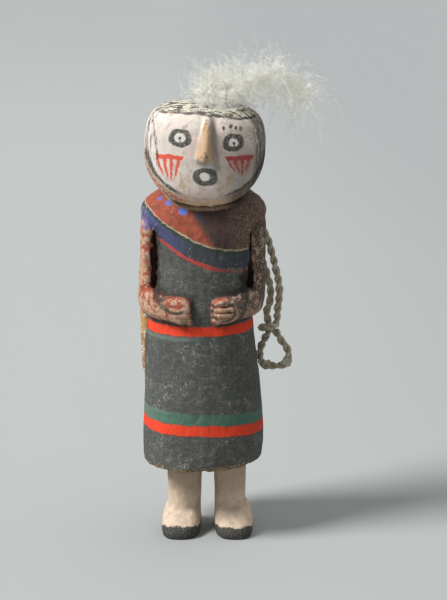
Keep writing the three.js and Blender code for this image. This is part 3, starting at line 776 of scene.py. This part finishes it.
def paintMaterial(look):
    paint = SimpleNamespace(**{name: tint(code) for name, code in look.items()})
    material, wire = newMaterial("painted_wood")
    place = dollPlace(wire)
    cloud = SimpleNamespace(**{name: grain(place, *values) for name, values in cloudLook.items()})
    quick, fine, medium, fibres = cloud.quick, cloud.fine, cloud.medium, cloud.fibres
    spot = brushSpot(place, cloud)
    x, z = spot.trueX, spot.trueZ
    part = SimpleNamespace(**{name: wire.node("Attribute", {"attribute_name": name}, out="Fac")
                              for name in ("onHead", "onArm", "onRidge", "onLeg", "edgeWear", "hollow")})
    wood = fibres.rise(0.35, 0.68).over(paint.darkWood, paint.wood)
    wood = (cloud.broad.rise(0.45, 0.62) * 0.6).over(wood, paint.goldWood)
    ground = (medium.rise(0.4, 0.7) * 0.5).over(paint.ground, paint.faceGrey)

    colour = bodyColour(paint, part, spot, cloud)
    colour = part.onLeg.over(colour, bootColour(paint, spot, cloud))
    colour = part.onHead.over(colour, faceColour(paint, spot, cloud))

    # arms: red earth rubbed back to a pinkish tan, most on the lower and outer sides
    arms = part.onArm * (1 - part.onHead)
    lowArm = 1 - z.rise(115.5, 122)
    outerArm = (1 - x.rise(-32, -27)) * z.rise(113, 117)
    upperArm = z.rise(121, 125) * (1 - outerArm)
    rubbed = cloud.patch + lowArm * 0.16 + outerArm * 0.08 - upperArm * 0.07 + part.edgeWear * 0.1
    # fewer rubbed patches towards the figure's left keep that arm dark, a painted shade on the side away from
    # the light
    rubbed = rubbed.rise(0.53, 0.59) * arms * (1 - x.rise(10, 20) * 0.4)
    rubbedTone = quick.rise(0.42, 0.62).over(paint.rubbed, paint.rubbedPale)
    colour = (rubbed * (0.6 + 0.4 * fine.rise(0.4, 0.55))).over(colour, rubbedTone)

    # wear to the ground, then to the wood, most on the bare ridge
    bare = (part.onRidge + (quick - 0.5) * 1.6 + (cloud.slow - 0.5)).rise(0.4, 0.55)
    shoulders = z.rise(150, 156) * (1 - part.onHead)
    cloth = (1 - z.rise(150, 156)) * (1 - arms) * (1 - bare)
    soles = 1 - z.rise(6, 10)
    bias = (outerArm * 0.05 + bare * 0.3 + part.edgeWear * 0.12 - shoulders * 0.03
            - cloth * 0.055 - soles * 0.2 - part.hollow * 0.15)
    wear = medium * 0.55 + fine * 0.45 + bias
    toGround = wear.rise(0.61, 0.65)
    toWood = (wear + (quick - 0.5) * 0.15).rise(0.64, 0.68)
    colour = (toGround * 0.8).over(colour, ground)
    colour = (toWood * (1 - part.onLeg * 0.6)).over(colour, wood)
    flakes = cloud.patch.rise(0.5, 0.56) * quick.rise(0.42, 0.5)
    colour = (bare * flakes * 0.8).over(colour, ground)
    colour = (bare * fibres.rise(0.58, 0.66) * 0.6).over(colour, paint.dirt)
    colour = (bracelets(spot, cloud) * arms).over(colour, paint.bracelet)
    colour = hollowShadeAndGrimeOver(colour, paint, part, spot, cloud)
    colour = (0.84 + cloud.broad * 0.3).shade(colour)

    rough = 0.86 - toWood * 0.1 + (fine - 0.5) * 0.12
    height = fine * 0.7 + fibres * toWood * 0.6 + medium * 0.7 - toGround * 0.35 - toWood * 0.35
    bump = wire.node("Bump", None, {"Strength": 0.8, "Distance": 0.0005, "Height": height})
    finishMaterial(wire, colour, rough, 0.25, {"Normal": bump})
    return material


def hollowShadeAndGrimeOver(colour, paint, part, spot, cloud):
    # painted shade in the hollows and dark paint deep in the arm gaps where there is only shade, with light
    # dirt spread over the rest; little of it where the left gap closes
    closedGap = spot.trueX.stripe(20, 4.5, 0.5) * spot.z.stripe(150, 12, 4)
    shadeAndGrime = part.hollow * 0.9 + (1 - part.hollow) * cloud.medium.rise(0.55, 0.75) * 0.15
    shadeAndGrime = shadeAndGrime * (0.9 - part.onLeg * 0.65 - part.onHead * 0.5 - closedGap * 0.8)
    colour = shadeAndGrime.over(colour, paint.dirt)
    # painted shade: the arm gaps darkened down their length
    gaps = figureLook["gaps"]
    offX = abs(abs(spot.trueX - gaps["middleX"]) - gaps["offX"])
    halfGap = 1.0 + (157 - spot.z) * 0.03 + (cloud.slow - 0.5) * 3
    gap = (1 - (offX - halfGap).rise(-0.4, 0.4)) * spot.z.stripe(141, 17, 1.5)
    gap = gap * (1 - spot.y.rise(-4, 2)) * (1 - closedGap)
    return (gap * 0.85).over(colour, paint.dirt)


def bodyColour(paint, part, spot, cloud):
    onTrunk = 1 - part.onArm
    scuff = cloud.medium.rise(0.5, 0.68) * cloud.fine.rise(0.46, 0.6)
    colour = shoulderColour(paint, spot, cloud)
    colour = dressOver(colour, paint, spot, cloud, onTrunk, scuff)
    return bandsOver(colour, paint, spot, cloud, onTrunk, scuff)


def shoulderColour(paint, spot, cloud):
    # bare shoulders and arms in red earth, blue beads round the neck, a blue patch on the right shoulder
    x, y, z = spot.x, spot.y, spot.z
    fine, medium = cloud.fine, cloud.medium
    colour = (medium.rise(0.4, 0.65) * 0.7).over(paint.earth, paint.earthDark)
    for beadX, beadY, beadZ, size, strength in bodyMarks["beads"]:
        off = ((x - beadX) ** 2 + (y - beadY) ** 2 * 0.4 + (z - beadZ) ** 2) ** 0.5
        colour = ((1 - off.rise(size - 0.8, size + 0.2)) * strength).over(colour, paint.bead)
    # painted shadow of the head across the chest and painted shade down the figure's left side, dark grey
    # with some soiling, then greyer brown flecks on that shaded side
    shadowAndSoot = (x + (z - 163) * 0.7).rise(-6, -0.5).most(x.rise(8, 14))
    colour = (shadowAndSoot * (0.86 + 0.12 * medium.rise(0.35, 0.6))).over(colour, paint.soot)
    colour = (x.rise(8, 18) * fine.rise(0.4, 0.62) * 0.45).over(colour, paint.bootShade)
    patch = 1 - (oval(spot, *bodyMarks["shoulderPatch"]) ** 2).rise(0.4, 1.3)
    return (patch * (1 - y.rise(-4, 0)) * 0.85).over(colour, paint.shoulderBlue)


def dressOver(colour, paint, spot, cloud, onTrunk, scuff):
    # the dress hangs from the right shoulder and passes under the left arm, front and back
    x, z = spot.x, spot.z
    quick, fine, broad, speck = cloud.quick, cloud.fine, cloud.broad, cloud.speck
    upper, lower = (z - (edge + slope * x + bend * x * x)
                    for edge, slope, bend in (bodyMarks["upperEdge"], bodyMarks["lowerEdge"]))
    dress = (fine.rise(0.42, 0.7) * 0.12).over(paint.dress, paint.dressPale)
    dress = (cloud.strokes.rise(0.46, 0.62) * 0.22).over(dress, paint.dressPale)
    dress = (broad.rise(0.42, 0.65) * 0.5).over(dress, paint.dressGreen)
    dress = (scuff * 0.4).over(dress, paint.dressPale)
    dust = cloud.patch.rise(0.46, 0.6) * broad.rise(0.42, 0.6) * fine.rise(0.48, 0.6)
    dress = (dust * 0.55).over(dress, paint.dust)
    colour = ((1 - upper.rise(-0.3, 0.3)) * onTrunk).over(colour, dress)

    # its border: blue with pale specks, painted darker slate towards the figure's left as painted shade, a
    # green edge, a cream line above and a red one below
    bandTone = (1 - x.rise(-23, -2)).over(paint.slate, paint.border)
    bandTone = (speck.rise(0.68, 0.72) * 0.7).over(bandTone, paint.ground)
    band = (1 - upper.rise(-2.6, -2.0)) * lower.rise(1.4, 1.9) * onTrunk
    colour = (band * 0.92).over(colour, bandTone)
    greenEdge = (1 - upper.rise(-0.9, -0.5)) * upper.rise(-2.8, -2.2) * onTrunk
    colour = (greenEdge * 0.85).over(colour, paint.borderGreen)
    cream = upper.stripe(-0.2, 0.42, 0.25) * onTrunk * (0.3 + 0.6 * quick.rise(0.4, 0.6))
    colour = cream.over(colour, paint.borderLine)
    redLine = lower.stripe(0.4, 0.9, 0.35) * onTrunk * (1 - x.rise(0, 16) * 0.8)
    return (redLine * (0.6 + 0.4 * fine.rise(0.4, 0.55))).over(colour, paint.redLine)


def bandsOver(colour, paint, spot, cloud, onTrunk, scuff):
    # belt, and the two bands above the hem
    x, z = spot.x, spot.z
    quick, fine, medium, speck = cloud.quick, cloud.fine, cloud.medium, cloud.speck
    red = (fine.rise(0.52, 0.7) * 0.4).over(paint.belt, paint.cheekDark)
    # painted shade: the belt's red darker towards the figure's left
    red = (x.rise(14, 30) * 0.5).over(red, paint.cheekDark)
    belt = z.stripe(*bodyMarks["belt"]) * onTrunk
    colour = (belt * (1 - scuff * 0.25)).over(colour, red)
    underBelt = z.stripe(*bodyMarks["underBelt"], 0.5) * (1 - x.rise(-14, 6)) * onTrunk
    colour = (underBelt * 0.8).over(colour, paint.greenGrey)
    dip = z - bodyMarks["hemRed"] + bodyMarks["hemDip"] * (x + 4).most(0.0) ** 2
    green = (fine.rise(0.42, 0.66) * 0.6).over(paint.green, paint.greenGrey)
    green = ((1 - x.rise(-33, -20)) * 0.7).over(green, paint.greenGrey)
    colour = (dip.stripe(*bodyMarks["greenOver"]) * 0.95).over(colour, green)
    frayed = dip.stripe(*bodyMarks["frayOver"], 0.5) * quick.rise(0.4, 0.55) * (1 - x.rise(-24, -10))
    colour = (frayed * 0.7).over(colour, paint.greenGrey)
    redHalf = bodyMarks["redHalf"]
    colour = (dip.stripe(0.0, redHalf) * (1 - scuff * 0.25)).over(colour, red)
    flake = dip.stripe(-redHalf - 0.2, 0.5, 0.3).most(dip.stripe(redHalf, 0.4, 0.3)) * quick.rise(0.5, 0.58)
    colour = (flake * 0.6).over(colour, paint.earthDark)

    # pale specks on the dark cloth, tan flecks along the hem
    specks = speck.rise(0.74, 0.77) * medium.rise(0.45, 0.6) * (1 - z.rise(108, 116) * 0.7)
    colour = (specks * 0.7).over(colour, paint.ground)
    hem = (1 - (z - legForm["slope"] * x).rise(39.0, 40.8)) * fine.rise(0.48, 0.58)
    return (hem * 0.75).over(colour, paint.goldWood)


def bracelets(spot, cloud):
    # dark bands on the wrists and a ring on the left hand
    x, z = spot.x, spot.z
    openSide = (1 - x.rise(-11, -9)) * (1 - x.rise(-19, -17) * z.rise(122, 123))
    band = oval(spot, *bodyMarks["cuff"]).stripe(1.0, 0.2, 0.08) * openSide
    wrist = (x - 0.3 * (z - 120)).stripe(*bodyMarks["wristBand"], 0.4)
    band = band.most(wrist * (1 - z.rise(125, 127)))
    band = band.most(oval(spot, *bodyMarks["handRing"]).stripe(0.84, 0.09, 0.06))
    return band * (1 - spot.y.rise(-4, 0)) * (0.45 + 0.5 * cloud.fine.rise(0.4, 0.55))


def faceColour(paint, spot, cloud):
    front = 1 - spot.y.rise(-9, -5)
    colour = faceGround(paint, spot, cloud, front)
    colour = cheeksOver(colour, paint, spot, cloud, front)
    colour = eyesOver(colour, paint, spot, cloud, front)
    colour = maskEdgeOver(colour, paint, spot, cloud, front)
    return hairOver(colour, paint, spot, cloud, front)


def faceGround(paint, spot, cloud, front):
    x, y, z = spot.x, spot.y, spot.z
    fine, medium = cloud.fine, cloud.medium
    colour = (cloud.broad.rise(0.4, 0.6) * 0.6).over(paint.face, paint.facePink)
    colour = (medium.rise(0.46, 0.68) * 0.6).over(colour, paint.faceGrey)
    # painted shade: the figure's left side of the face greyer, and darker below the brow
    colour = (x.rise(3, 18) * (0.25 + 0.4 * fine.rise(0.4, 0.6))).over(colour, paint.faceGrey)
    colour = (fine.rise(0.6, 0.72) * 0.4).over(colour, paint.faceTan)
    colour = (1 - x.rise(4, 20) * (1 - z.rise(194, 204)) * 0.3).shade(colour)
    smudge = x.rise(3, 12) * z.rise(198, 205) * fine.rise(0.5, 0.6) * medium.rise(0.4, 0.55)
    colour = (smudge * 0.5).over(colour, paint.line)

    # tan wear on the chin, beside the mouth and down the nose, painted shadow beside the nose and under its
    # tip
    chin = (1 - z.rise(172, 182)) * (0.35 + 0.65 * fine.rise(0.42, 0.58))
    colour = (chin * 0.7).over(colour, paint.faceTan)
    besideMouth = abs(x - 0.7).stripe(10, 3.0, 2.0) * z.stripe(184, 5.0, 4.0) * medium.rise(0.42, 0.6)
    colour = (besideMouth * 0.6).over(colour, paint.faceTan)
    nose = (1 - y.rise(-30.5, -27.8)) * abs(x - 0.8).stripe(0.0, 6.0, 1.0) * z.rise(191.5, 194)
    noseTone = (fine.rise(0.4, 0.65) * 0.5).over(paint.faceTan, paint.wood)
    colour = (nose * 0.85).over(colour, noseTone)
    noseShadow = (x - 5.0 - (203 - z) * 0.09).stripe(0.0, 1.7, 1.4) * z.stripe(201, 12, 2.5) * front
    return (noseShadow * 0.42).over(colour, paint.dirt)


def cheeksOver(colour, paint, spot, cloud, front):
    # a red bar on each cheek with stripes drawing in below it
    x, z, fine = spot.x, spot.z, cloud.fine
    for middle, top, half, reach, drift, draw, smear, tone in faceMarks["cheeks"]:
        down = top - z
        across = (x - middle - drift * down) / (1 - down / draw).most(0.2)
        inside = 1 - abs(across).rise(half - 0.3, half + 0.3)
        bar = down.stripe(0.2, 1.1, 0.3)
        comb = x.maths("SINE", across * (2 * math.pi / 3.5)).rise(-0.3, 0.2).most(smear)
        tines = comb * down.rise(0.5, 1.0) * (1 - (down + abs(across) * 0.5).rise(reach - 3, reach))
        cheek = bar.most(tines * (0.35 + 0.65 * fine.rise(0.36, 0.46))) * inside * front
        colour = (cheek * 0.92).over(colour, getattr(paint, tone))
    return colour


def eyesOver(colour, paint, spot, cloud, front):
    # eyes and mouth: dark rings with a pale middle
    solid = 0.7 + 0.3 * cloud.fine.rise(0.38, 0.5)
    for middle, halves, inner, tone in faceMarks["rings"]:
        ring = oval(spot, middle, halves, 2.4)
        colour = ((1 - ring.rise(0.9, 1.06)) * front * solid).over(colour, getattr(paint, tone))
        colour = ((1 - ring.rise(inner - 0.07, inner + 0.07)) * front * 0.95).over(colour, paint.eyeWhite)
        if tone == "eyeRing":
            x, z = middle
            pupil = oval(spot, (x + 0.2, z - 0.2), (0.75, 0.75))
            tick = (spot.x - x - 0.3).stripe(0.0, 0.3, 0.2) * (spot.z - z).stripe(-1.2, 1.0, 0.3)
            colour = ((1 - pupil.rise(0.7, 1.2)).most(tick) * front).over(colour, getattr(paint, tone))
    for middle, strength in faceMarks["lashes"]:
        dot = oval(spot, middle, (0.9, 1.2))
        colour = ((1 - dot.rise(0.6, 1.1)) * front * strength).over(colour, paint.line)
    return colour


def maskEdgeOver(colour, paint, spot, cloud, front):
    # a dark line round the jaw, tan and red outside it, painted shadow under it on the figure's left, streaks
    # up the sides
    x, y, z = spot.x, spot.y, spot.z
    fine, streak = cloud.fine, cloud.streak
    around = x.maths("ARCTAN2", x, 0 - y)
    jaw = oval(spot, *faceMarks["jaw"])
    below = 1 - z.rise(196, 200)
    rightJaw = below * (1 - x.rise(-14, -6))
    outside = jaw.rise(1.02, 1.05) * below
    colour = (outside * 0.6 * fine.rise(0.36, 0.5)).over(colour, paint.faceTan)
    # painted shadow under the jaw on the figure's left
    colour = (outside * x.rise(8, 16) * 0.7).over(colour, paint.hair)
    rim = jaw.stripe(1.12, 0.05, 0.02) * rightJaw * front * cloud.quick.rise(0.42, 0.54)
    colour = (rim * 0.75).over(colour, paint.cheekDark)
    colour = (jaw.stripe(0.95, 0.016, 0.014) * rightJaw * 0.6).over(colour, paint.eyeWhite)
    line = jaw.stripe(1.0, 0.036, 0.02) * below * (0.2 + 0.8 * abs(x).rise(8, 15))
    colour = (line * (0.5 + 0.45 * fine.rise(0.38, 0.5))).over(colour, paint.line)
    temple = (x + 24.3 - (212 - z) * 0.137).stripe(0.0, 0.6, 0.4).most((0 - around).stripe(1.14, 0.05, 0.03))
    temple = temple * z.rise(189, 193) * streak.rise(0.42, 0.52) * front
    colour = (temple * 0.85).over(colour, paint.line)
    rightSide = (0 - around).rise(0.9, 1.0) * streak.rise(0.54, 0.6) * z.rise(184, 190)
    colour = (rightSide * 0.7).over(colour, paint.line)
    leftEdge = around.rise(0.84, 0.98) * streak.rise(0.36, 0.5)
    return (leftEdge * 0.75).over(colour, paint.hair)


def hairOver(colour, paint, spot, cloud, front):
    # hair over the crown and the back, brushed on in strokes
    x, y, z = spot.x, spot.y, spot.z
    streak = cloud.streak
    hairline = z - (faceMarks["hairline"] - x.rise(-2, 18) * faceMarks["hairDip"])
    brushed = cloud.strokes.rise(0.49, 0.54).most(streak.rise(0.58, 0.63) * 0.7)
    hair = (0.12 + 0.8 * brushed).over(paint.hairGround, paint.hair)
    colour = hairline.rise(-0.5, 0.3).over(colour, hair)
    edge = hairline.stripe(-0.5, 0.55, 0.35) * front * (0.35 + 0.65 * cloud.slow.rise(0.35, 0.55))
    colour = (edge * 0.9).over(colour, paint.hair)
    return (y.rise(3, 8) * (0.35 + 0.65 * streak.rise(0.36, 0.44))).over(colour, paint.hair)


def bootColour(paint, spot, cloud):
    y, z = spot.y, spot.trueZ
    colour = (cloud.medium.rise(0.4, 0.65) * 0.45).over(paint.boot, paint.bootShade)
    # painted shade under the skirt: the legs darker towards their tops
    colour = (z.rise(16, 26) * 0.45).over(colour, paint.bootShade)
    edge = z + (cloud.quick - 0.5) * 1.5 + (cloud.slow - 0.5) * 4 - 4.8 - (1 - y.rise(-20, -13)) * 1.4
    sole = (cloud.fine.rise(0.52, 0.68) * 0.4).over(paint.soleGrey, paint.dust)
    return (1 - edge.rise(-0.3, 0.3)).over(colour, sole)


makeFigure(figureLook)


# Floor, light and backdrop tone

studioLook = {
    "floor": "#9fa2a1", "floorFar": "#929595", "floorRadius": 9.0, "room": "#dfe3e5", "roomLight": 0.31,
    "key": {"kind": "SUN", "turn": -70, "rise": 47, "distance": 2000, "size": 20, "power": 4.4},
    "top": {"kind": "SUN", "turn": 130, "rise": 68, "distance": 2000, "size": 80, "power": 1.2},
    "fill": {"kind": "AREA", "turn": -5, "rise": 30, "distance": 2200, "size": 1.6, "power": 2},
    "lightAim": (0, 0, 110),
}


def softLight(name, look, aim):
    data = bpy.data.lights.new(name, look["kind"])
    data.energy = look["power"]
    if look["kind"] == "SUN":
        data.angle = math.radians(look["size"])
    else:
        data.size = look["size"]
    standAt(addObject(name, data), look, aim)


def makeStudio(look):
    material, wire = newMaterial("studio_floor")
    spot = wire.node("TexCoord", out="Object")
    across = wire.node("SeparateXYZ", None, {0: spot})
    soft = wire.node("TexNoise", None, {"Vector": spot, "Scale": 3.0, "Detail": 2.0})
    # painted shade: the floor darker to the right and towards the back, where the light falls off
    far = (across + 0.1).most(0.0) * 2.2 + across.twin(1).rise(0.2, 3.0) * 0.6 + (soft - 0.5) * 0.1
    colour = far.rise(0.0, 1.0).over(tint(look["floor"]), tint(look["floorFar"]))
    finishMaterial(wire, colour, 0.9, 0.1)
    turns = np.linspace(0, 2 * math.pi, 97)[:-1]
    rim = [(look["floorRadius"] * math.cos(t), look["floorRadius"] * math.sin(t), 0) for t in turns]
    floor = newObject("studio_floor", rim, [tuple(range(len(rim)))], material)
    scene = bpy.context.scene
    world = scene.world or bpy.data.worlds.new("room")
    scene.world = world
    world.use_nodes = True
    back = world.node_tree.nodes["Background"]
    back.inputs["Color"].default_value = tint(look["room"])
    back.inputs["Strength"].default_value = look["roomLight"]
    for name in ("key", "top", "fill"):
        softLight(name, look[name], look["lightAim"])
    scene.view_settings.view_transform = "Standard"
    print("studio made")


makeStudio(studioLook)
